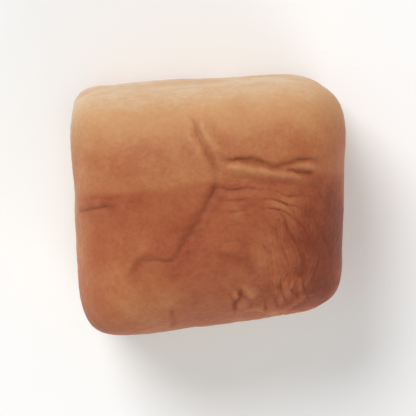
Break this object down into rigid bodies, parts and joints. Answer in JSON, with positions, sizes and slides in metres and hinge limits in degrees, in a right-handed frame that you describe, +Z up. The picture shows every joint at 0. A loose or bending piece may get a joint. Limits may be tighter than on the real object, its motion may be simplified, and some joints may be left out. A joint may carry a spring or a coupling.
{
  "type": "bread roll",
  "caption": "Soft square dinner roll with a browned domed crust, pale sides and a flat base that it rests on.",
  "frame": {"origin": "middle of the roll's box on the surface its flat base rests on", "axes": "+Z up through the crown of the crust; +X along the roll's longer side, with the squarer crust edge to the -Y side"},
  "size_m": [0.064, 0.0596, 0.046],
  "materials": {
    "crust": "satin"
  },
  "bodies": {
    "root": {"bread_roll": "crust"}
  },
  "joints": []
}
